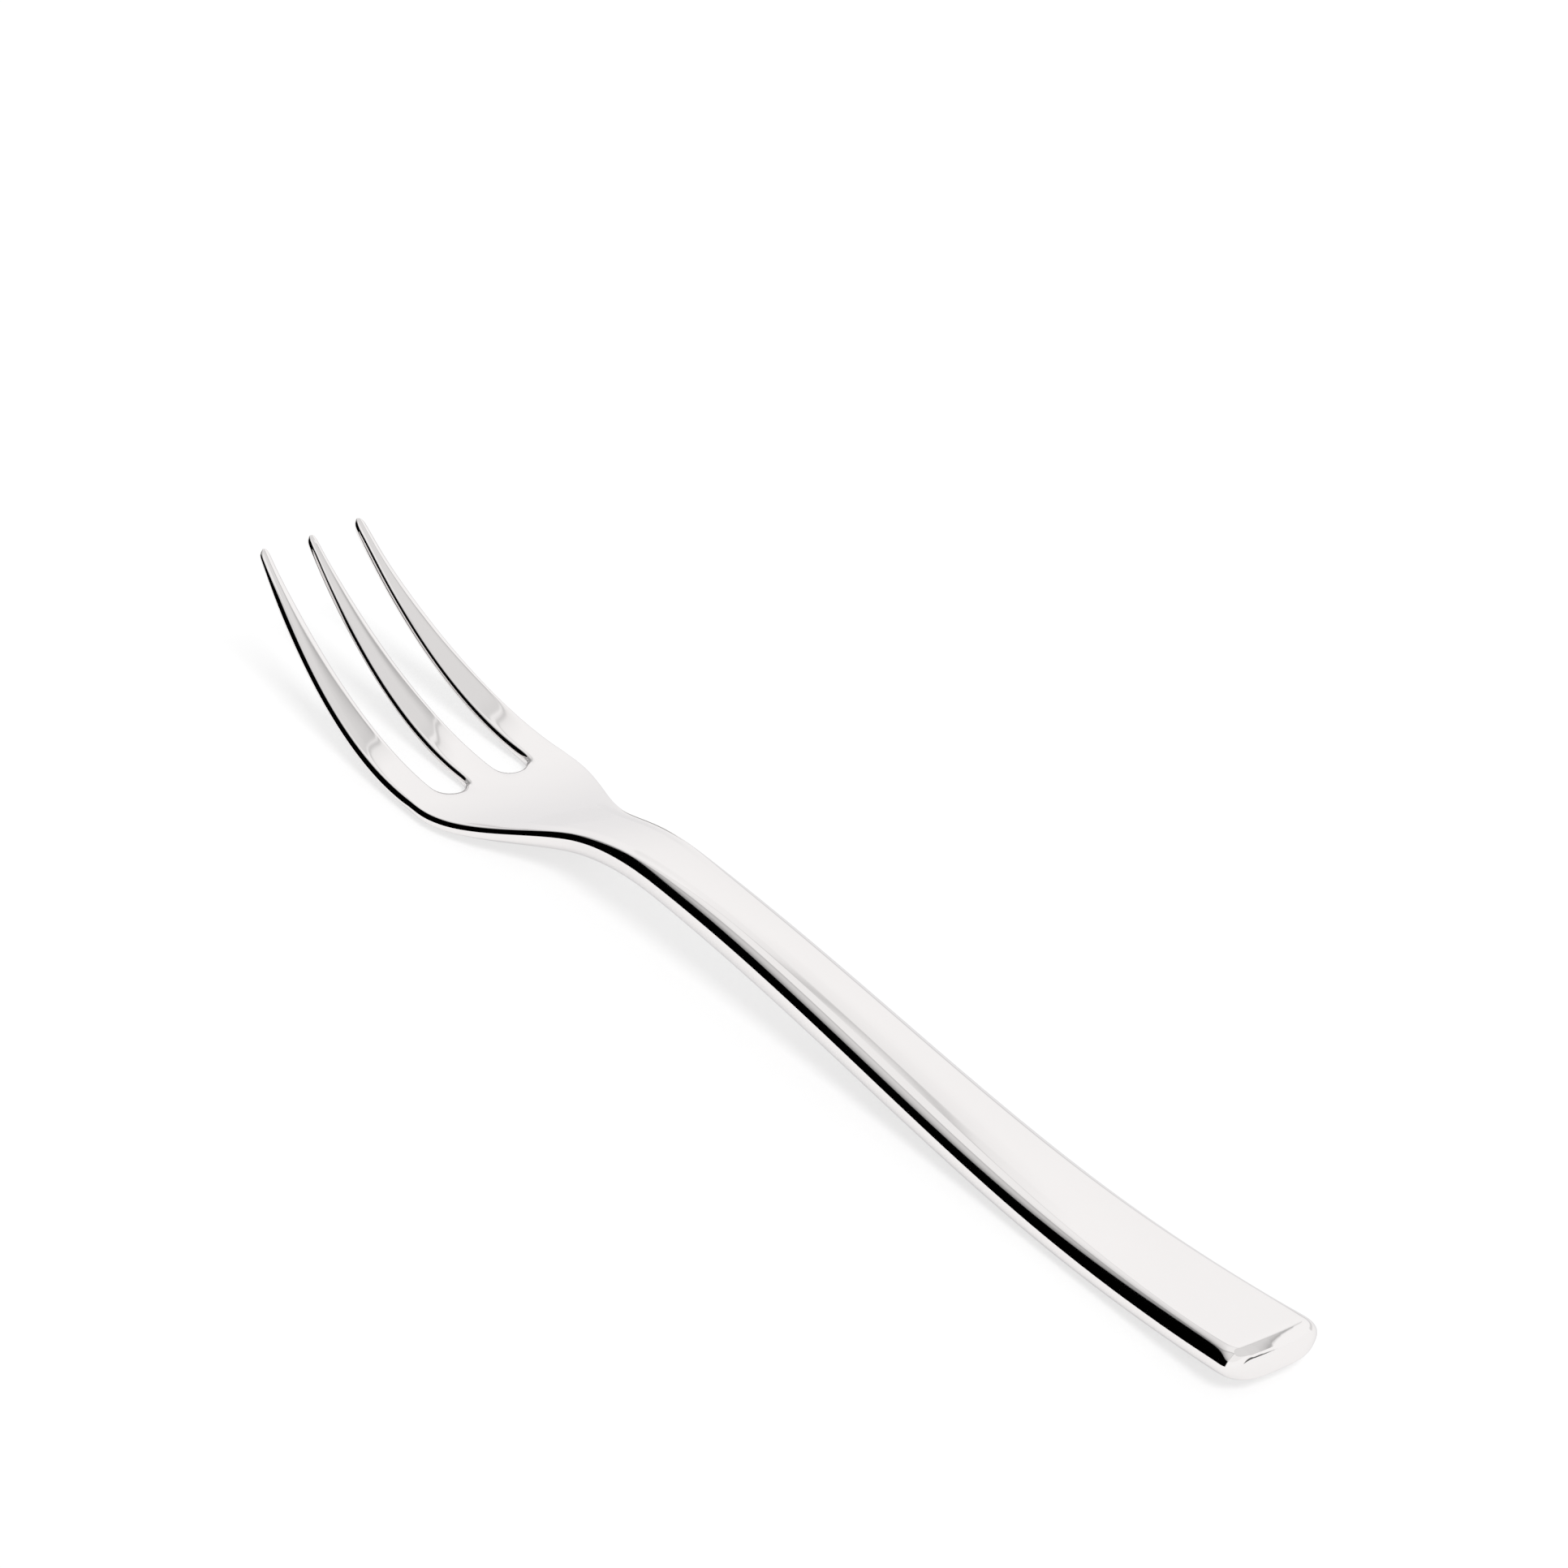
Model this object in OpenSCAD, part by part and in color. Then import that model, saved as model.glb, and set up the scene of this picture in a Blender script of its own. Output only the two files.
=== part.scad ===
// Fish fork with three tines: one piece of polished stainless steel,
// blanked from a bar, rolled to thickness, slotted and pressed to its curve.
// It lies on a table, tines up. X runs across it and Y from the handle's end
// to the tips. The edge line is where a cross-section is widest, and the
// sizes of a section are measured up and down from there.

/* [Lengths along the fork] */
// End of the handle to the lowest point of its belly
heel_len = 28; // [18:0.5:36]
// Lowest point of the belly to the thickest part of the stem
grip_len = 58; // [40:1:70]
// Thickest part of the stem to the top of the neck's arch
stem_len = 20; // [10:1:30]
// Top of the arch to the start of the shoulders
neck_len = 11; // [6:0.5:16]
// Start of the shoulders to the full width of the head
shoulder_len = 24; // [18:0.5:32]
// Full width of the head to the roots of the slots
palm_len = 0.3; // [0:0.1:6]
// Roots of the slots to the tips
tine_len = 38.7; // [28:0.1:48]

/* [Widths] */
// Handle at its end
handle_w = 12.4; // [9:0.1:17]
// Neck at its narrowest
neck_w = 8.2; // [6:0.1:12]
// Head at its widest
head_w = 21.3; // [18:0.1:26]
// Across the three tines at their tips
tip_span = 14.1; // [12:0.1:18]
// Middle tine at its root
middle_tine_w = 3.8; // [3:0.1:5]
// Outer tine at its root
outer_tine_w = 4.2; // [3:0.1:5]
// Every tine just before its rounded tip
tine_tip_w = 1.5; // [1.1:0.1:2.1]
// Flat left in the middle of each rounded tip
tip_flat = 0.5; // [0.2:0.1:0.8]

/* [Side curve] */
// How far the end of the handle turns up
end_rise = 1.65; // [0:0.05:3]
// Rise of the edge line from the belly to the top of the arch
arch_rise = 5.8; // [3:0.1:10]
// Rise of the edge line from the bowl of the head to the tips
tip_rise = 15.7; // [8:0.1:22]
// Slope of the tines at their tips, in degrees
tip_angle = 42; // [20:0.5:50]

/* [Handle end section] */
// Edge line up to the flat top
end_top = 1.95; // [1.2:0.05:2.8]
// Width of the sloping flank between the flat top and the edge
end_flank = 1.25; // [0.7:0.05:2]
// Edge line down to the keel
end_keel = 1.7; // [1:0.05:2.6]
// Height of the upright edge
end_edge = 1.05; // [0.3:0.05:1.6]
// Radius of the corners in plan
end_corner = 2.1; // [1:0.1:4]
// Radius of the roll from the flat top down to the end face
end_roll = 1.8; // [0.8:0.1:2.4]

/* [Stem section] */
// Edge line up to the shoulder of the top
stem_top = 2.1; // [1.4:0.05:2.8]
// Extra height of the rounded top at its middle
stem_crown = 0.3; // [0:0.05:0.6]
// Width of the sloping flank
stem_flank = 1.35; // [0.7:0.05:2]
// Edge line down to the belly
stem_keel = 2.2; // [1.4:0.05:3]
// Height of the upright edge
stem_edge = 1.45; // [0.5:0.05:2]

/* [Head section] */
// Edge line up to the flat top
head_top = 1.4; // [0.9:0.05:1.8]
// Width of the sloping flank
head_flank = 0.35; // [0.25:0.05:0.8]
// Edge line down to the underside
head_keel = 0.95; // [0.7:0.05:1.5]
// Height of the upright edge
head_edge = 0.3; // [0.1:0.05:0.8]
// Edge line up to the top of the tines at their tips
tip_top = 0.85; // [0.5:0.05:1.2]
// Edge line down to the underside of the tines at their tips
tip_keel = 0.5; // [0.3:0.05:0.8]
// Height of the upright edge at the tips
tip_edge = 0.1; // [0.05:0.05:0.4]
// Radius along the upper edges of the slots
slot_round = 1.4; // [0.5:0.05:1.6]

/* [Hidden] */

// Stations along the fork, measured from the end of the handle
stem_at = heel_len + grip_len;
arch_at = stem_at + stem_len;
shoulder_at = arch_at + neck_len;
palm_at = shoulder_at + shoulder_len;
root_at = palm_at + palm_len;
tip_at = root_at + tine_len;

// Share of the half width at which the belly starts to turn up to the edge
belly_share = 0.8;
// Share of the half top at which it starts to round over into the flank
flat_share = 0.65;
// How late the tines taper: 1 is a straight taper
tine_curve = 1.7;
// How many times steeper than a straight taper the handle starts and the tines end
handle_bow = 1.25;
tine_bow = 1.5;
// Largest share of a half tine that the rounding of its edge may take
round_share = 0.8;
// Angle at which that rounding runs out into the top, in degrees
round_to = 75;
// Spacing of the cross-sections
handle_step = 5;
head_step = 2;
round_step = 25;
// Number of times that the corners of a section are cut to round it
rounding = 2;
// Cutting corners lowers a peak, so one is drawn this many times as high
peak = 1 / (1 - flat_share / 4);
// Half of the length over which a slope is measured
nudge = 0.01;
// How far a cutter runs past the metal
past = 1.5;

// A cubic from value v0 with slope s0 at y0 to value v1 with slope s1 at y1
function cubic(y0, v0, s0, y1, v1, s1, y) =
    let (span = y1 - y0, t = (y - y0) / span, u = 1 - t)
    v0 * u * u * (1 + 2 * t) + v1 * t * t * (3 - 2 * t)
    + span * t * u * (s0 * u - s1 * t);

// The same cubic, level at both ends
function ease(y0, v0, y1, v1, y) = cubic(y0, v0, 0, y1, v1, 0, y);

// A size that eases from the end to the stem, the head and the tips
function along(at_end, at_stem, at_head, at_tip, y) =
    y < stem_at ? ease(0, at_end, stem_at, at_stem, y)
    : y < palm_at ? ease(stem_at, at_stem, palm_at, at_head, y)
    : ease(palm_at, at_head, tip_at, at_tip, min(y, tip_at));

// How far the rounded tip of a tine has drawn in from its sides
tip_r = tine_tip_w / 2;
function tip_in(y) =
    let (d = min(max(y - tip_at + tip_r, 0), tip_r))
    tip_r - max(sqrt(tip_r * tip_r - d * d), tip_flat / 2);

// Heights above the edge line to the top, and below it to the underside
function top_at(y) = along(end_top, stem_top, head_top, tip_top, y) * (1 - tip_in(y) / tip_r);
function keel_at(y) = along(end_keel, stem_keel, head_keel, tip_keel, y) * (1 - tip_in(y) / tip_r);

// Heights of the edge line: the belly and the head both touch the table
heel_z = keel_at(heel_len);
arch_z = heel_z + arch_rise;
bowl_z = head_keel;
tip_z = bowl_z + tip_rise;

// How far a round corner of radius r has drawn in, at distance d from its end
function drawn_in(r, d) = d < r ? r - sqrt(r * r - (r - d) * (r - d)) : 0;

// Height of the edge line above the table
function edge_z(y) =
    y < heel_len ? heel_z + end_rise * pow(1 - y / heel_len, 2)
    : y < arch_at ? ease(heel_len, heel_z, arch_at, arch_z, y)
    : y < palm_at ? ease(arch_at, arch_z, palm_at, bowl_z, y)
    : cubic(palm_at, bowl_z, 0, tip_at, tip_z, tan(tip_angle), y);

// Slope of the edge line, in degrees
function edge_slope(y) = atan((edge_z(y + nudge) - edge_z(y - nudge)) / nudge / 2);

// Half width of the fork before its ends are rounded
handle_taper = (handle_w - neck_w) / 2 / arch_at;
tine_taper = (head_w - tip_span) / 2 / tine_len;
function full_w(y) =
    y < arch_at ? cubic(0, handle_w / 2, -handle_bow * handle_taper, arch_at, neck_w / 2, 0, y)
    : y < shoulder_at ? neck_w / 2
    : y < palm_at ? ease(shoulder_at, neck_w / 2, palm_at, head_w / 2, y)
    : cubic(palm_at, head_w / 2, 0, tip_at, tip_span / 2, -tine_bow * tine_taper, y);

// Half width of the fork
function half_w(y) = full_w(y) - drawn_in(end_corner, y) - tip_in(y);

// Radius of the slots' round roots
root_r = (full_w(root_at) - outer_tine_w - middle_tine_w / 2) / 2;

// Width of a tine that has width w at its root
function tine_w(w, y) = w + (tine_tip_w - w) * pow(max(y - root_at, 0) / tine_len, tine_curve);

// Cuts each corner of a closed outline to a quarter of its sides, n times
function cut_corners(outline, n) =
    n == 0 ? outline
    : cut_corners([
        for (i = [0:len(outline) - 1])
            let (a = outline[i], b = outline[(i + 1) % len(outline)])
            each [(3 * a + b) / 4, (a + 3 * b) / 4]
    ], n - 1);

// Stands a section upright at y, taller where the fork slopes so that its thickness stays
function placed(section, y) =
    let (lean = cos(edge_slope(y)))
    [for (p = section) [p.x, y, edge_z(y) + p.y / lean]];

// Cross-section of the fork at y
function section(y) =
    let (
        w = half_w(y),
        top = top_at(y) - drawn_in(end_roll, y),
        crown = along(0, stem_crown, 0, 0, y) * peak,
        flank = min(along(end_flank, stem_flank, head_flank, tip_r, y), w / 2),
        keel = keel_at(y),
        edge = min(along(end_edge, stem_edge, head_edge, tip_edge, y) / 2, top / 2),
        right = [
            [flat_share * (w - flank), top + crown * (1 - flat_share)],
            [w - flank, top],
            [w, edge],
            [w, -edge],
            [w * belly_share, -keel]
        ],
        left = [for (i = [4:-1:0]) [-right[i].x, right[i].y]]
    )
    cut_corners(concat([[0, top + crown]], right, [[0, -keel]], left), rounding);

// Cross-section of a slot at y: upright walls that round over into the top
function slot_section(side, y) =
    let (
        inner = tine_w(middle_tine_w, y) / 2 - tip_in(y),
        outer = full_w(y) - tine_w(outer_tine_w, y) + tip_in(y),
        opened = 1 - drawn_in(root_r, y - root_at) / root_r,
        middle = (inner + outer) / 2,
        gap = (outer - inner) / 2 * opened,
        top = top_at(y),
        r = min(slot_round, round_share * inner) * opened,
        wall = concat(
            [[gap, -keel_at(y) - past]],
            [for (a = [0:round_step:round_to]) [gap + r * (1 - cos(a)), top - r + r * sin(a)]],
            [[gap + r + past / tan(round_to), top + past]]
        ),
        last = len(wall) - 1,
        left = [for (p = wall) [side * middle - p.x, p.y]],
        right = [for (i = [last:-1:0]) [side * middle + wall[i].x, wall[i].y]]
    )
    concat(left, right);

// Skin over a row of sections that have the same number of points
module skin(rings) {
    n = len(rings[0]);
    last = len(rings) - 1;
    points = [for (ring = rings) each ring];
    first_cap = [for (j = [0:n - 1]) j];
    last_cap = [for (j = [n - 1:-1:0]) last * n + j];
    sides = [
        for (i = [0:last - 1], j = [0:n - 1])
            let (a = i * n + j, b = i * n + (j + 1) % n)
            each [[a, a + n, b], [b, a + n, b + n]]
    ];
    polyhedron(points, concat([first_cap, last_cap], sides));
}

// Loft through a row of convex sections: each stretch is the hull of its two ends
module loft(rings) {
    for (i = [0:len(rings) - 2])
        hull()
            skin([rings[i], rings[i + 1]]);
}

// Stations of the cross-sections, closer together where the shape turns
end_steps = [for (a = [0:15:90]) end_corner * (1 - cos(a))];
tip_steps = [for (a = [90:-18:0]) tip_at - tip_r + tip_r * cos(a)];
stations = concat(
    end_steps,
    [for (y = [handle_step:handle_step:arch_at]) y],
    [for (y = [arch_at + head_step:head_step:tip_at - 2 * tip_r]) y],
    tip_steps
);

rings = [for (y = stations) placed(section(y), y)];

// The lowest point, which stands on the table
low_z = min([for (ring = rings, p = ring) p.z]);

module slot(side) {
    root_steps = [for (a = [10:10:90]) root_at + root_r * (1 - cos(a))];
    rows = concat(
        root_steps,
        [for (y = [root_at + root_r + head_step:head_step:tip_at - 2 * tip_r]) y],
        tip_steps,
        [tip_at + past]
    );
    skin([for (y = rows) placed(slot_section(side, y), y)]);
}

module fork() {
    color("silver")
        translate([0, -tip_at / 2, -low_z])
            difference() {
                loft(rings);
                slot(1);
                slot(-1);
            }
}

fork();
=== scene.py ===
import math

import bmesh
import bpy
import numpy as np
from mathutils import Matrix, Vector


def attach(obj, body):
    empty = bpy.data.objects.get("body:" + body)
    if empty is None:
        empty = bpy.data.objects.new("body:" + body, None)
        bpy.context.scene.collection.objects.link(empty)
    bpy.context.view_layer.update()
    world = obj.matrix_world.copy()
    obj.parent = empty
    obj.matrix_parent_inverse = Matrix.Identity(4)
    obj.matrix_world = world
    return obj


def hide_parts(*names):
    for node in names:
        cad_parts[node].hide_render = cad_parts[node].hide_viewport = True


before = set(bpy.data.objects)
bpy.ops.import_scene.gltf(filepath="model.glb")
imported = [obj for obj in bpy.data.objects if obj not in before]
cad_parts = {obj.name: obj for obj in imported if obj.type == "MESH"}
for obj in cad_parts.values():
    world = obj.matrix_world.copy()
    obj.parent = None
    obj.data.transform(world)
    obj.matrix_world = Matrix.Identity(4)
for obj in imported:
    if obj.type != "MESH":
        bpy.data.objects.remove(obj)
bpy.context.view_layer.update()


# The blank of the fork: a bar of stainless steel, rolled thin towards the head and pressed to its curve.
# It rests on the belly of the handle and on the bowl of the head, with the neck arched between them.
# All sizes are in millimetres, and stations are measured from the end of the handle.
MM = 0.001
LENGTH = 180
BELLY, STEM, ARCH, SHOULDER, PALM, ROOT = 28, 86, 106, 117, 141, 141.3
TINE_LEN = LENGTH - ROOT
HANDLE_W, NECK_W, HEAD_W, TIP_SPAN = 12.4, 8.2, 21.3, 14.3
HANDLE_TAPER, HEAD_TAPER = 1.25, 1.7
END_LIFT, ARCH_RISE, BOWL_RISE, TIP_RISE, TIP_SLOPE = 1.65, 5.8, 0.95, 16.65, 42
END_ROUND, CORNER_ROUND, END_BOW, BOWED_TO = 1.8, 2.1, 0.5, 8
TIP_R, TIP_LEAST = 0.65, 0.25

# Measures of the section at the handle's end, at the stem, at the palm and at the tips.
KEEL = (1.7, 2.2, 0.95, 0.5)
TOP = (1.95, 2.1, 1.12, 1.12)
FLANK = (1.25, 1.35, 0.35, 0.3)
SIDE = (1.05, 1.45, 0.3, 0.1)
SOFT_EDGE = (0.7, 2, 0.5, 0.3)


def cubic(y0, v0, s0, y1, v1, s1, y):
    """A smooth run from v0 to v1 between two stations, with the slopes s0 and s1 at its ends."""
    span = y1 - y0
    t = (y - y0) / span
    u = 1 - t
    bend = span * t * u * (s0 * u - s1 * t)
    return v0 * u * u * (1 + 2 * t) + v1 * t * t * (3 - 2 * t) + bend


def ease(y0, v0, y1, v1, y):
    """A run with level ends, which hold before and after it."""
    return cubic(y0, v0, 0, y1, v1, 0, min(max(y, y0), y1))


def along(measure, y):
    at_end, at_stem, at_palm, at_tips = measure
    if y < STEM:
        return ease(0, at_end, STEM, at_stem, y)
    if y < PALM:
        return ease(STEM, at_stem, PALM, at_palm, y)
    return ease(PALM, at_palm, LENGTH, at_tips, y)


def drawn_in(radius, d):
    """How far a round of this radius lies in from the side, at a distance d from its end."""
    return radius - math.sqrt(radius**2 - (radius - d) ** 2) if d < radius else 0


def tip_in(y):
    d = max(y - LENGTH + TIP_R, 0)
    return TIP_R - max(math.sqrt(max(TIP_R**2 - d**2, 0)), TIP_LEAST)


def keel(y):
    return along(KEEL, y) * (1 - tip_in(y) / TIP_R)


THINS_FROM, THINS_TO = 136, 154
PALM_TOP, TINE_TOP = 1.13, 0.62


def top_height(y):
    """The top's height over the edge line. The head is rolled thin between the palm and the tines."""
    if y < THINS_FROM:
        return along(TOP, y) - drawn_in(END_ROUND, y)
    return ease(THINS_FROM, PALM_TOP, THINS_TO, TINE_TOP, y) * (1 - tip_in(y) / TIP_R)


def edge_height(y):
    """The height of the edge line: the fork's curve as seen from the side."""
    low = keel(BELLY)
    if y < BELLY:
        return low + END_LIFT * (1 - y / BELLY) ** 2
    if y < ARCH:
        return ease(BELLY, low, ARCH, low + ARCH_RISE, y)
    if y < PALM:
        return ease(ARCH, low + ARCH_RISE, PALM, BOWL_RISE, y)
    return cubic(PALM, BOWL_RISE, 0, LENGTH, TIP_RISE, math.tan(math.radians(TIP_SLOPE)), y)


def lean(y):
    """How much taller an upright section is than one square to the fork's curve."""
    step = 0.01
    rise = (edge_height(y + step) - edge_height(y - step)) / (2 * step)
    return math.sqrt(1 + rise**2)


def half_width(y):
    if y < ARCH:
        taper = HANDLE_TAPER * (HANDLE_W - NECK_W) / 2 / ARCH
        return cubic(0, HANDLE_W / 2, -taper, ARCH, NECK_W / 2, 0, y)
    if y < PALM:
        return ease(SHOULDER, NECK_W / 2, PALM, HEAD_W / 2, y)
    taper = HEAD_TAPER * (HEAD_W - TIP_SPAN) / 2 / TINE_LEN
    return cubic(PALM, HEAD_W / 2, 0, LENGTH, TIP_SPAN / 2, -taper, y)


CROWN_FULL, CROWN_HOLDS = 36, 92
END_CROWN, DECK_CROWN, STEM_CROWN = 0.08, 0.335, 0.27


def crown_height(y):
    """The deck's crown: fullest where the handle is broad, gone at the palm."""
    if y < CROWN_FULL:
        return ease(0, END_CROWN, CROWN_FULL, DECK_CROWN, y)
    if y < CROWN_HOLDS:
        return ease(CROWN_FULL, DECK_CROWN, CROWN_HOLDS, STEM_CROWN, y)
    return ease(CROWN_HOLDS, STEM_CROWN, PALM, 0, y)


# A half section is a row of points, counted from the top's middle round the side to the belly's middle.
FLAT, BELLY_SHARE = 0.65, 0.8
END_SOFT, SOFT_TO = 1.3, 9
STEPS = 8
FLANK_AT, SIDE_AT, BELLY_AT = 2 * STEPS, 7 * STEPS // 2, 6 * STEPS


def half_section(y, w, most_flank=math.inf):
    """The right half of a section: its corners are rounded off, in eight steps each."""
    top = top_height(y)
    crown = crown_height(y) / (1 - FLAT**2 / 4)
    flank = min(along(FLANK, y), most_flank)
    edge = min(along(SIDE, y) / 2, top / 2)
    soft = along(SOFT_EDGE, y) + END_SOFT * max(1 - y / SOFT_TO, 0) ** 2
    flat = max(FLAT, 1 - soft / (w - flank))
    corners = [(flat * (w - flank), top + crown * (1 - flat**2)), (w - flank, top)]
    corners += [(w, edge), (w, -edge), (w * BELLY_SHARE, -keel(y))]
    corners = [(-corners[0][0], corners[0][1]), (0, top + crown), *corners]
    corners += [(0, -keel(y)), (-corners[-1][0], -keel(y))]
    points = []
    for a, b, c in zip(corners, corners[1:], corners[2:]):
        start = 0.5 * (np.array(a) + b)
        stop = 0.5 * (np.array(b) + c)
        for t in np.linspace(0, 1, STEPS + 1)[:-1]:
            points.append((1 - t) ** 2 * start + 2 * t * (1 - t) * np.array(b) + t * t * stop)
    return np.array(points[STEPS // 2 : STEPS // 2 + BELLY_AT + 1])


DISH_AT, DISH, TIP_DISH, DISH_FORM = 145, 0.4, 0.2, 1.7


def dish(y, share):
    """How far the head's top lies below its edges, at a share of the way from the middle out to the edge."""
    deep = ease(SHOULDER, 0, DISH_AT, DISH, y) if y < DISH_AT else ease(DISH_AT, DISH, LENGTH, TIP_DISH, y)
    return deep * (1 - min(share, 1) ** DISH_FORM)


# The facet's points lie this far in from the side and down from the top. Its size changes along the fork.
FACET = ((0.48, 0), (0.3268, 0.1488), (0.0731, 0.5146), (0, 0.713))
FACET_FROM, FACET_WHOLE = 95, 116
NARROWS_FROM, NARROWS_TO, NECK_FACET, PALM_FACET = 100, 130, 1.7, 0.95
TINE_FACET_AT, FADES_AT, TIP_FACET = 150, 174, 0.4
ROUND_AT = (13, 16, 20, 24)


def rolled_edge(y, w, s):
    """The last four top points: a broad round on the handle, which turns into the facet at the neck."""
    if y <= PALM:
        whole = ease(NARROWS_FROM, NECK_FACET, NARROWS_TO, PALM_FACET, y)
    else:
        whole = ease(FADES_AT, 1, LENGTH, TIP_FACET, y) * ease(PALM, PALM_FACET, TINE_FACET_AT, 1, y)
    facet = [(w - inward * whole, top_height(y) - down * whole) for inward, down in FACET]
    share = ease(FACET_FROM, 0, FACET_WHOLE, 1, y)
    return [(1 - share) * s[i] + share * np.array(p) for i, p in zip(ROUND_AT, facet)]


# The points stand in three rows, top, middle and belly, and in 13 columns at these shares of the width.
# The slot is cut at column 4, and its walls are the columns beside it.
TOP_SHARES = (0.14, 0.185, 0.205, 0.408, 0.609, 0.63, 0.675, 0.965)
BELLY_SHARES = (0.13, 0.175, 0.197, 0.395, 0.592, 0.63, 0.69, 0.78, 0.84, 0.9, 0.95, 0.985)
COLUMNS, WALL, SLOT, FAR_WALL, CORNER, EDGE = 13, 3, 4, 5, 9, 12


def under_height(s, x):
    return np.interp(x, s[: SIDE_AT - 1 : -1, 0], s[: SIDE_AT - 1 : -1, 1])


def blank_rows(y):
    """Top, side and belly points of one station, in columns from the middle line out to the edge."""
    w = half_width(y) - drawn_in(CORNER_ROUND, y)
    s = half_section(y, w)
    edge, side = rolled_edge(y, w, s), s[SIDE_AT]
    top = [(0, s[0][1] - dish(y, 0))]
    for share in TOP_SHARES:
        x = share * edge[0][0]
        top.append((x, np.interp(x, s[: FLANK_AT + 1, 0], s[: FLANK_AT + 1, 1]) - dish(y, share)))
    top += edge
    belly = [(0, s[BELLY_AT][1])]
    belly += [(share * side[0], under_height(s, share * side[0])) for share in BELLY_SHARES]
    middle = [(x, (a + b) / 2) for (x, a), (_, b) in zip(top, belly)]
    middle[EDGE] = (side[0], side[1])
    return np.array([top, middle, belly])


def in_place(rows, y):
    """Stands the rows of a station upright at y, taller where the fork slopes, and bows the handle's end."""
    placed = np.zeros((*rows.shape[:-1], 3))
    placed[..., 0] = rows[..., 0]
    bow = END_BOW * (rows[..., 0] * 2 / HANDLE_W) ** 2 * max(1 - y / BOWED_TO, 0) ** 2
    placed[..., 1] = y - LENGTH / 2 + bow
    placed[..., 2] = edge_height(y) + rows[..., 1] * lean(y)
    return placed


handle_stations = [0, 0.12, 0.5, 1.2, 2.4, 5, 10, 17, 25, 34, 44, 54, 64, 74, 84, 93, 101, 107, 112, 116]
palm_stations = [119.5, 122.5, 125.5, 128.5, 131.5, 134.5, 137, 139.4, 141.2]
rings = [in_place(blank_rows(y), y) for y in handle_stations + palm_stations]
root = len(rings)


# The head is slotted from the tips down to two round roots, which leaves three tines of the same steel.
# Their upper edges are rolled over on the slots' side, their tops are slightly crowned, and each tapers late
# to a small round tip.
TINE_W, TAPER_FORM, TINE_CROWN, CROWNED_AFTER = 4.5, 2.1, 0.2, 0.1
SLOT_ROOT = 142.35

# The rolled edge, in from the slot's wall and down from the top, and the least height of the wall's foot.
SUPPORT_IN, ROLL_IN, ROLL_SIDE, CORNER_IN = 0.85, 0.46, 0.2, 0.3
ROLL_DOWN, ROLL_FOOT, LEAST_WALL = 0.33, 0.72, 0.25

# The outer side, and the underside, which is rounded at the slot and thinned soon after the root.
SIDE_IN, SIDE_DOWN, FLANK_MOST = 0.02, 0.16, 0.4
UNDER_ROUND, UNDER_THINNED, THINNED_AFTER, UNDER_FULL = 0.15, 0.35, 0.15, 0.4
UNDER_SHARES = (0.035, 0.12, 0.25, 0.5, 0.7, 0.82, 0.9, 0.97)


def tine_width(drawn_out):
    return TINE_W + (2 * TIP_R - TINE_W) * drawn_out**TAPER_FORM


def tine_rows(y):
    """The columns of the middle tine's right half and of the right tine. The slot's column stays empty."""
    rows = np.zeros((3, COLUMNS, 2))
    drawn_out = max(y - ROOT, 0) / TINE_LEN
    h = tine_width(drawn_out) / 2 - tip_in(y)
    w = half_width(y) - tip_in(y)
    inner = half_width(y) - tine_width(drawn_out) + tip_in(y)
    s = half_section(y, w, FLANK_MOST * (w - inner))
    low = keel(y) * (1 - UNDER_THINNED * min(drawn_out / THINNED_AFTER, 1))
    roll = min(1, h / SUPPORT_IN)
    crown = TINE_CROWN * min(drawn_out / CROWNED_AFTER, 1)

    for col, x in enumerate((0, h - SUPPORT_IN * roll, h - ROLL_IN * roll)):
        rows[:, col, 0] = x
        rows[0, col, 1] = top_height(y) - dish(y, 0) + crown * (1 - (x / h) ** 2)
        rows[2, col, 1] = -low
    rolled = rows[0, WALL - 1, 1]
    rows[0, WALL] = h - ROLL_SIDE * roll, rolled - ROLL_DOWN * roll
    rows[1, WALL] = h, max(rolled - ROLL_FOOT * roll, LEAST_WALL - low)
    rows[2, WALL] = h - UNDER_ROUND, UNDER_ROUND - low

    rows[0, CORNER:] = rolled_edge(y, w, s)
    corner = rows[0, CORNER, 0]
    between = (inner + ROLL_IN * roll, inner + SUPPORT_IN * roll, corner - CORNER_IN * roll)
    for col, x in enumerate(between, FAR_WALL + 1):
        off = (2 * x - inner - w) / (w - inner)
        rows[0, col] = x, top_height(y) - dish(y, x / corner) + crown * (1 - off**2)
    rolled = rows[0, FAR_WALL + 1, 1]
    rows[0, FAR_WALL] = inner + ROLL_SIDE * roll, rolled - ROLL_DOWN * roll
    for col, share in enumerate(UNDER_SHARES, FAR_WALL):
        x = inner + share * (w - inner)
        rows[2, col] = x, max(under_height(s, x), -low - (keel(y) - low) * min(share / UNDER_FULL, 1))
        rows[1, col] = (rows[0, col] + rows[2, col]) / 2
    rows[1, FAR_WALL] = inner, max(rolled - ROLL_FOOT * roll, LEAST_WALL - low)
    rows[2, FAR_WALL] += 0, UNDER_ROUND
    rows[1, EDGE] = w - SIDE_IN, rows[0, EDGE, 1] - SIDE_DOWN * roll
    return rows


ROOT_ROLLS, ROOT_LIFT, RING_PAST = (0.2, 0, 0.05), 0.18, 0.5
DIAGONAL = 0.707


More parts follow.
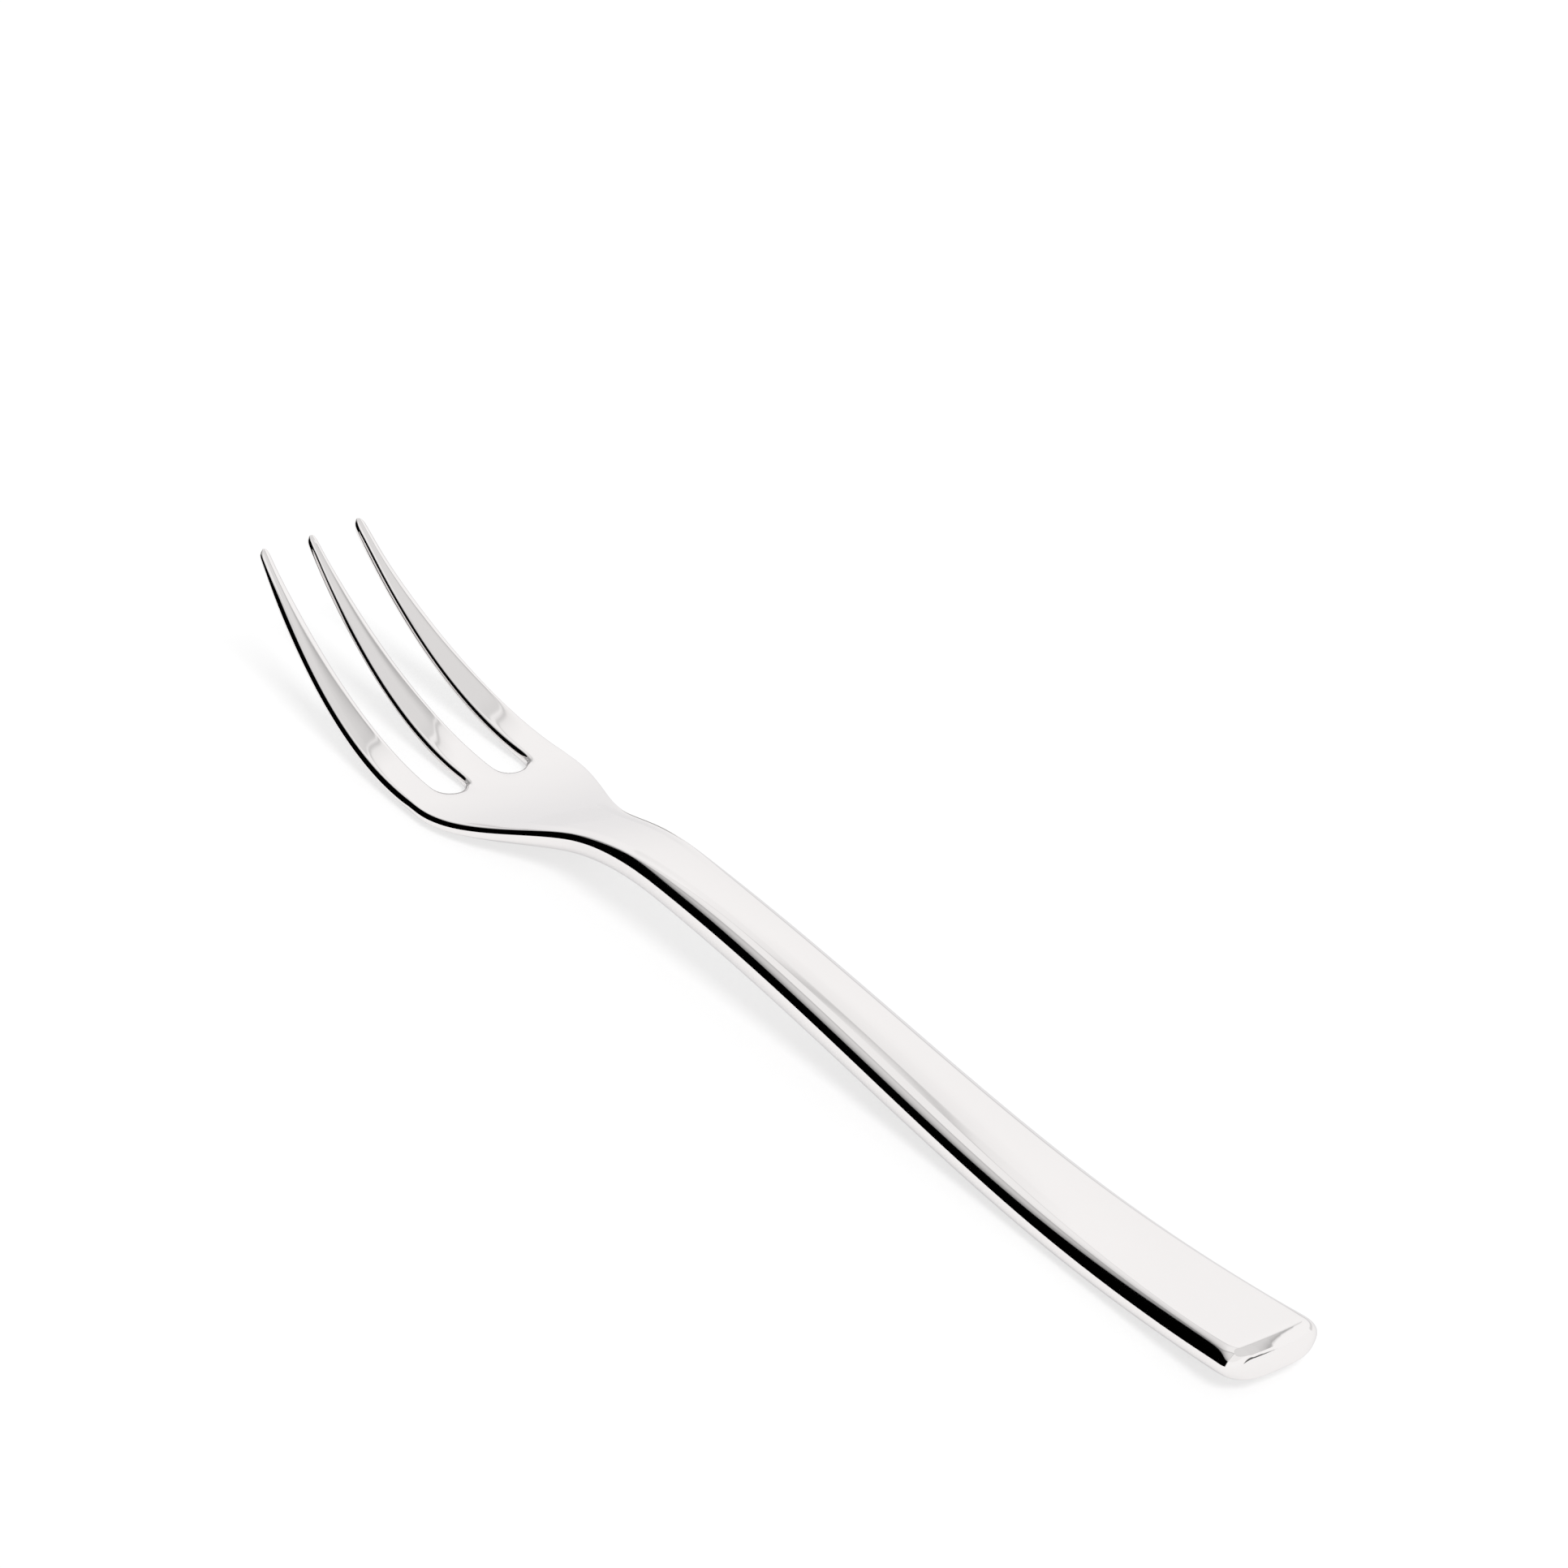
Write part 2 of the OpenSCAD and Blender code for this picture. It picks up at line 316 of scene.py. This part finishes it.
def root_ring():
    """The ring at the slots' roots: the columns of the slot and its walls lie on the round of the root."""
    ring = in_place(tine_rows(ROOT), SLOT_ROOT + RING_PAST)
    ring[0, (WALL, FAR_WALL), 2] += ROOT_LIFT
    inner, outer = ring[1, WALL, 0], ring[1, FAR_WALL, 0]
    middle, radius = (inner + outer) / 2, (outer - inner) / 2
    for row, roll in enumerate(ROOT_ROLLS):
        off = DIAGONAL * (radius + roll)
        ring[row, WALL, :2] = middle - off, SLOT_ROOT + radius - off
        ring[row, FAR_WALL, :2] = middle + off, SLOT_ROOT + radius - off
        ring[row, SLOT, :2] = middle, SLOT_ROOT - roll
        ring[row, SLOT, 2] = (ring[row, WALL, 2] + ring[row, FAR_WALL, 2]) / 2
    ring[:, WALL : FAR_WALL + 1, 1] -= LENGTH / 2
    return ring


tine_stations = [144.3, 147, 151, 156, 161, 166, 171, 175, 177.6, 179, 179.6, 180]
rings += [root_ring(), *(in_place(tine_rows(y), y) for y in tine_stations)]


def outlines_at(at):
    """The outlines of a ring, as lists of row and column: the right half's, or those of two tines."""

    def outline(first, last):
        top = [(0, col) for col in range(first, last + 1)]
        return [*top, (1, last), *((2, col) for _, col in reversed(top))]

    if at <= root:
        return [outline(0, EDGE)]
    return [outline(0, WALL), [*outline(FAR_WALL, EDGE), (1, FAR_WALL)]]


# Buffing rounds every corner. In the mesh a subdivision does this, which draws the points of its cage in. So
# they are set out by as much beforehand, round each ring and along the fork, but not round the roots.
MOST_ARM = 1.5
FLIP = (-1, 1, 1)


def drawn_off(before, here, after):
    """How far smoothing moves a point. A long arm counts for no more than MOST_ARM times the other."""
    arms = before - here, after - here
    lengths = [max(np.linalg.norm(arm), 1e-6) for arm in arms]
    most = MOST_ARM * min(lengths)
    return sum(arm * min(1, most / length) for arm, length in zip(arms, lengths)) / 6


cage = [ring.copy() for ring in rings]
for at, ring in enumerate(rings):
    outlines = [] if at == root else outlines_at(at)
    for outline in outlines:
        spots = [ring[spot] for spot in outline]
        if outline[0] == (0, 0):
            spots = [spots[1] * FLIP, *spots, spots[-2] * FLIP]
        else:
            spots = [spots[-1], *spots, spots[0]]
        for spot, before, here, after in zip(outline, spots, spots[1:], spots[2:]):
            cage[at][spot] -= drawn_off(before, here, after)
    if 0 < at < len(rings) - 1:
        for spot in np.ndindex(3, COLUMNS):
            if at < root or spot[1] != SLOT:
                cage[at][spot] -= drawn_off(rings[at - 1][spot], ring[spot], rings[at + 1][spot])

# The right half is drawn out from its flat end, station by station. At the roots the slot's faces are left
# behind, and the tines go on alone. Points nearer to each other than this many metres are the same.
SAME = 1e-7
bpy.ops.object.select_all(action="DESELECT")
upright = (math.pi / 2, 0, 0)
bpy.ops.mesh.primitive_grid_add(x_subdivisions=EDGE, y_subdivisions=2, size=0.01, rotation=upright)
fork = bpy.context.object
fork.name = "polished_fork"
bpy.ops.object.transform_apply(location=True, rotation=True, scale=True)
bpy.ops.object.mode_set(mode="EDIT")


def move_to(ring):
    """Moves each selected point of the drawn face to its place, which its row and column tell."""
    mesh = bmesh.from_edit_mesh(fork.data)
    selected = [v for v in mesh.verts if v.select]
    chosen = {name: v for v in selected for name, spot in drawn.items() if (v.co - spot).length < SAME}
    for name, v in chosen.items():
        bpy.ops.mesh.select_all(action="DESELECT")
        v.select_set(True)
        bpy.ops.transform.translate(value=Vector(ring[name]) * MM - v.co)
    bpy.ops.mesh.select_all(action="DESELECT")
    for name, v in chosen.items():
        drawn[name] = v.co.copy()
        v.select_set(True)
    mesh.select_flush(True)


points = bmesh.from_edit_mesh(fork.data).verts
across = sorted({round(v.co.x, 6) for v in points})
downward = sorted({round(v.co.z, 6) for v in points}, reverse=True)
drawn = {(downward.index(round(v.co.z, 6)), across.index(round(v.co.x, 6))): v.co.copy() for v in points}
for at, ring in enumerate(cage):
    if at > 0:
        bpy.ops.mesh.extrude_region_move()
    move_to(ring)
    if at == root:
        mesh = bmesh.from_edit_mesh(fork.data)
        slot_points = [drawn[row, SLOT] for row in range(3)]
        for face in mesh.faces:
            if face.select and any((v.co - spot).length < SAME for v in face.verts for spot in slot_points):
                face.select_set(False)

# The walls on the middle plane come out, and the other half is mirrored on.
mesh = bmesh.from_edit_mesh(fork.data)
bpy.ops.mesh.select_all(action="DESELECT")
for face in mesh.faces:
    face.select_set(all(abs(v.co.x) < SAME for v in face.verts))
bpy.ops.mesh.delete(type="FACE")
bpy.ops.object.mode_set(mode="OBJECT")
mirror = fork.modifiers.new("other_half", "MIRROR")
mirror.merge_threshold = 1e-6
bpy.ops.object.modifier_apply(modifier=mirror.name)
buffing = fork.modifiers.new("buffing", "SUBSURF")
buffing.levels = buffing.render_levels = 2
bpy.ops.object.modifier_apply(modifier=buffing.name)
bpy.ops.object.mode_set(mode="EDIT")
bpy.ops.mesh.select_all(action="SELECT")
bpy.ops.mesh.normals_make_consistent(inside=False)
bpy.ops.object.mode_set(mode="OBJECT")
bpy.ops.object.shade_smooth()

# Mirror-polished stainless steel: buffed along its length, so that very fine hairlines run with the handle,
# and handled a little, so that faint smudges lie on it. Its darker tint at a glancing angle is painted
# shade, which darkens the steel along its outlines.
STEEL, SMUDGED = (0.92, 0.897, 0.889, 1), (0.9, 0.877, 0.871, 1)
# Painted shade: this darker tint at a glancing angle draws thin dark lines along the steel's outlines.
GLANCING_SHADE = (0.82, 0.82, 0.83, 1)
HAIR_SCALE, HAIR_HEIGHT = (22000, 160, 22000), 0.000002
steel = bpy.data.materials.new("polished_steel")
steel.use_nodes = True
nodes, links = steel.node_tree.nodes, steel.node_tree.links
shader = nodes["Principled BSDF"]
shader.inputs["Metallic"].default_value = 1
shader.inputs["Specular Tint"].default_value = GLANCING_SHADE


def maths(operation, a, b):
    """The result of a maths node on two values, each a number or another node's result."""
    node = nodes.new("ShaderNodeMath")
    node.operation = operation
    for socket, value in zip(node.inputs, (a, b)):
        if isinstance(value, (int, float)):
            socket.default_value = value
        else:
            links.new(value, socket)
    return node.outputs[0]


def noise(place, scale, detail, distortion):
    node = nodes.new("ShaderNodeTexNoise")
    node.inputs["Scale"].default_value = scale
    node.inputs["Detail"].default_value = detail
    node.inputs["Distortion"].default_value = distortion
    links.new(place, node.inputs["Vector"])
    return node.outputs["Fac"]


def spread(value, low, high, to_low, to_high):
    node = nodes.new("ShaderNodeMapRange")
    node.inputs["From Min"].default_value, node.inputs["From Max"].default_value = low, high
    node.inputs["To Min"].default_value, node.inputs["To Max"].default_value = to_low, to_high
    links.new(value, node.inputs["Value"])
    return node.outputs[0]


place = nodes.new("ShaderNodeTexCoord").outputs["Object"]
buffed = nodes.new("ShaderNodeMapping")
buffed.inputs["Scale"].default_value = HAIR_SCALE
links.new(place, buffed.inputs["Vector"])
hairs = noise(buffed.outputs[0], scale=1, detail=3, distortion=0)
smudge = noise(place, scale=90, detail=4, distortion=0.6)
rough = maths("ADD", spread(smudge, 0.45, 0.75, 0, 0.03), spread(hairs, 0.3, 0.7, 0.03, 0.055))
links.new(rough, shader.inputs["Roughness"])
tint = nodes.new("ShaderNodeMix")
tint.data_type = "RGBA"
tint.inputs[6].default_value = STEEL  # A mix node's colours are its inputs 6 and 7 and its output 2.
tint.inputs[7].default_value = SMUDGED
links.new(smudge, tint.inputs[0])
links.new(tint.outputs[2], shader.inputs["Base Color"])
bump = nodes.new("ShaderNodeBump")
bump.inputs["Strength"].default_value = 0.05
bump.inputs["Distance"].default_value = HAIR_HEIGHT
links.new(hairs, bump.inputs["Height"])
links.new(bump.outputs[0], shader.inputs["Normal"])
fork.data.materials.clear()
fork.data.materials.append(steel)

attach(fork, "root")
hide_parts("fork")


# The table: a plain white board far larger than the fork, just under it. It shows white to the camera and
# in the steel, and keeps the shadow: part of its white is its own colour under the light, the rest a fill.
BOARD, FILL, FILL_IN_STEEL = (0.42, 0.42, 0.42, 1), 0.56, 0.9
BOARD_SIZE, BOARD_UNDER = 6, 0.00002
bpy.ops.object.select_all(action="DESELECT")
bpy.ops.mesh.primitive_plane_add(size=BOARD_SIZE, location=(0, 0, -BOARD_UNDER))
table = bpy.context.object
table.name = "table"
board = bpy.data.materials.new("white_board")
board.use_nodes = True
nodes, links = board.node_tree.nodes, board.node_tree.links
shader = nodes["Principled BSDF"]
shader.inputs["Base Color"].default_value = BOARD
shader.inputs["Roughness"].default_value = 0.9
shader.inputs["Specular IOR Level"].default_value = 0
shader.inputs["Emission Color"].default_value = (1, 1, 1, 1)
path = nodes.new("ShaderNodeLightPath")
in_steel = maths("MULTIPLY", path.outputs["Is Glossy Ray"], FILL_IN_STEEL)
seen = maths("MAXIMUM", path.outputs["Is Camera Ray"], in_steel)
links.new(maths("MULTIPLY", seen, FILL), shader.inputs["Emission Strength"])
board.cycles.emission_sampling = "NONE"
table.data.materials.append(board)


# The studio: a white room that the polished steel mirrors. A round screen hangs in front, the walls beside
# and over the tines are grey up to a window on the right, a black card is on the left, two rails run low.
# To the camera it is plain white. Edges are given by the cosine of the angle to a direction.
UP, LEFT, AHEAD = (0, 0, 1), (-1, 0, 0), (0, 1, 0)
SCREEN, CEILING, WINDOW = (0.496, 0.687, 0.5315), (0.3, -0.25, 0.92), (0.997, -0.08, 0)
CEILING_FROM, LEFT_FROM, AHEAD_PAST, WINDOW_FROM = 0.745, 0.37, 0.08, 0.55
SHADED_SIDE, SHADED_END = (-0.97, 0.26, 0), (0.052, 0.999, 0)
CARD_NEAR, CARD_FAR = (-0.035, 0.999, 0), (-0.92, -0.39, 0)
RAIL, SKIRT = (0.301, -0.954, 0), (0.97, 0.24, 0)
world = bpy.data.worlds.new("studio")
bpy.context.scene.world = world
world.use_nodes = True
nodes, links = world.node_tree.nodes, world.node_tree.links
nodes.clear()
out = nodes.new("ShaderNodeOutputWorld")
back = nodes.new("ShaderNodeBackground")
back.inputs["Color"].default_value = (1, 1, 1, 1)
links.new(back.outputs[0], out.inputs[0])
where = nodes.new("ShaderNodeTexCoord")
path = nodes.new("ShaderNodeLightPath")


def towards(direction):
    """How far a direction in the room points this way: 1 straight there, 0 square to it, -1 away."""
    node = nodes.new("ShaderNodeVectorMath")
    node.operation = "DOT_PRODUCT"
    links.new(where.outputs["Generated"], node.inputs[0])
    node.inputs[1].default_value = Vector(direction).normalized()
    return node.outputs["Value"]


def ramp(value, *stops):
    """A level that follows a value between -1 and 1 through these stops, and holds before and after them."""
    node = nodes.new("ShaderNodeValToRGB")
    links.new(spread(value, -1, 1, 0, 1), node.inputs[0])
    elements = node.color_ramp.elements
    for i, (at, level) in enumerate(stops):
        spot = (at + 1) / 2
        element = elements[i] if i < 2 else elements.new(spot)
        element.position = spot
        element.color = (level, level, level, 1)
    return node.outputs[0]


# The round screen has a dark rim, which shows only high up. Low down the front is white.
rim = ramp(towards(SCREEN), (0.938, 0.93), (0.943, 0.62), (0.948, 0.62), (0.952, 0.88), (0.96, 0.92),
           (0.972, 0.96), (0.985, 1))
screen = maths("MAXIMUM", rim, ramp(towards(UP), (0.5, 1), (0.58, 0)))

# Past the screen the walls are grey, on the left and over the tines, with a seam on the left.
over = maths("SUBTRACT", towards(CEILING), CEILING_FROM)
leftward = maths("SUBTRACT", towards(LEFT), LEFT_FROM)
beside = maths("MINIMUM", leftward, maths("ADD", towards(AHEAD), AHEAD_PAST))
inside = maths("MAXIMUM", over, beside)
seam = maths("MULTIPLY", ramp(beside, (-0.004, 0), (0.004, 0.14), (0.05, 0.12), (0.09, 0)),
             ramp(over, (-0.03, 1), (0, 0)))
wall = maths("SUBTRACT", ramp(inside, (-0.006, 1), (0.002, 0.72), (0.06, 0.77), (1, 0.78)), seam)
grey = ramp(inside, (-0.006, 0), (0.002, 1))

# The window is white, and the grey darkens towards its frame.
right = maths("SUBTRACT", WINDOW_FROM, towards(WINDOW))
by_window = ramp(right, (0, 1), (0.006, 0.66), (0.025, 0.8), (0.06, 0.94), (0.12, 1))
window = ramp(right, (-0.01, 1), (0.003, 0))
framed = maths("SUBTRACT", wall, maths("MULTIPLY", grey, maths("SUBTRACT", 1, by_window)))
room = maths("MAXIMUM", maths("MINIMUM", screen, framed), window)

# The black card stands on the left, and the wall over it is in its shade.
shade = ramp(towards(UP), (0.508, 0.33), (0.6, 0.75), (0.7, 0.95), (0.75, 1))
shaded = maths("MULTIPLY", ramp(towards(SHADED_SIDE), (0, 0), (0.15, 1)),
               ramp(towards(SHADED_END), (0, 0), (0.1, 1)))
dimmed = maths("MULTIPLY", room, maths("MAXIMUM", shade, maths("SUBTRACT", 1, shaded)))
below = ramp(towards(UP), (0.5, 1), (0.508, 0))
near = ramp(towards(CARD_NEAR), (0, 0), (0.02, 1))
far = ramp(towards(CARD_FAR), (0, 0), (0.02, 1))
card = maths("MULTIPLY", below, maths("MULTIPLY", near, far))
lit = maths("MULTIPLY", dimmed, maths("SUBTRACT", 1, card))

# A dark rail runs low behind the camera, and a grey skirting low on the right.
rail = maths("MULTIPLY", ramp(towards(UP), (0, 0), (0.02, 1), (0.3, 1), (0.36, 0)),
             ramp(towards(RAIL), (0.972, 0), (0.984, 0.9)))
skirt = maths("MULTIPLY", ramp(towards(UP), (0, 0), (0.01, 1), (0.14, 1), (0.2, 0)),
              ramp(towards(SKIRT), (0.79, 0), (0.83, 0.25)))
level = maths("MULTIPLY", lit, maths("SUBTRACT", 1, maths("ADD", rail, skirt)))
to_camera = nodes.new("ShaderNodeMix")
to_camera.data_type = "FLOAT"
links.new(path.outputs["Is Camera Ray"], to_camera.inputs[0])
links.new(level, to_camera.inputs[2])  # A mix node's plain numbers are its inputs 2 and 3.
to_camera.inputs[3].default_value = 1
links.new(to_camera.outputs[0], back.inputs["Strength"])

# The key light: a large soft lamp high behind the camera. It lights the table and throws the fork's shadow
# away from the camera. The steel doesn't mirror it.
KEY_STRENGTH, KEY_SPREAD, KEY_WAY = 1.45, 20, (0.12, 0.64, -0.76)
key = bpy.data.objects.new("key", bpy.data.lights.new("key", "SUN"))
bpy.context.scene.collection.objects.link(key)
key.data.energy = KEY_STRENGTH
key.data.angle = math.radians(KEY_SPREAD)
key.visible_glossy = False
key.rotation_euler = Vector(KEY_WAY).to_track_quat("-Z", "Y").to_euler()

# The camera stands behind the handle's end, to its left, and looks down on the fork with a long lens.
# Angles are in degrees, the distance and the point that it looks at in metres.
AZIMUTH, ELEVATION, DISTANCE, LOOKED_AT = -35.55, 30.44, 0.69306, (0, -0.005572, 0.028783)
camera = bpy.data.objects.new("camera", bpy.data.cameras.new("camera"))
bpy.context.scene.collection.objects.link(camera)
bpy.context.scene.camera = camera
camera.data.lens = 150
camera.data.sensor_width = 36
turn, tilt = math.radians(AZIMUTH), math.radians(ELEVATION)
behind = Vector((math.sin(turn) * math.cos(tilt), -math.cos(turn) * math.cos(tilt), math.sin(tilt)))
camera.location = Vector(LOOKED_AT) + behind * DISTANCE
camera.rotation_euler = (-behind).to_track_quat("-Z", "Y").to_euler()

bpy.context.scene.view_settings.view_transform = "Standard"
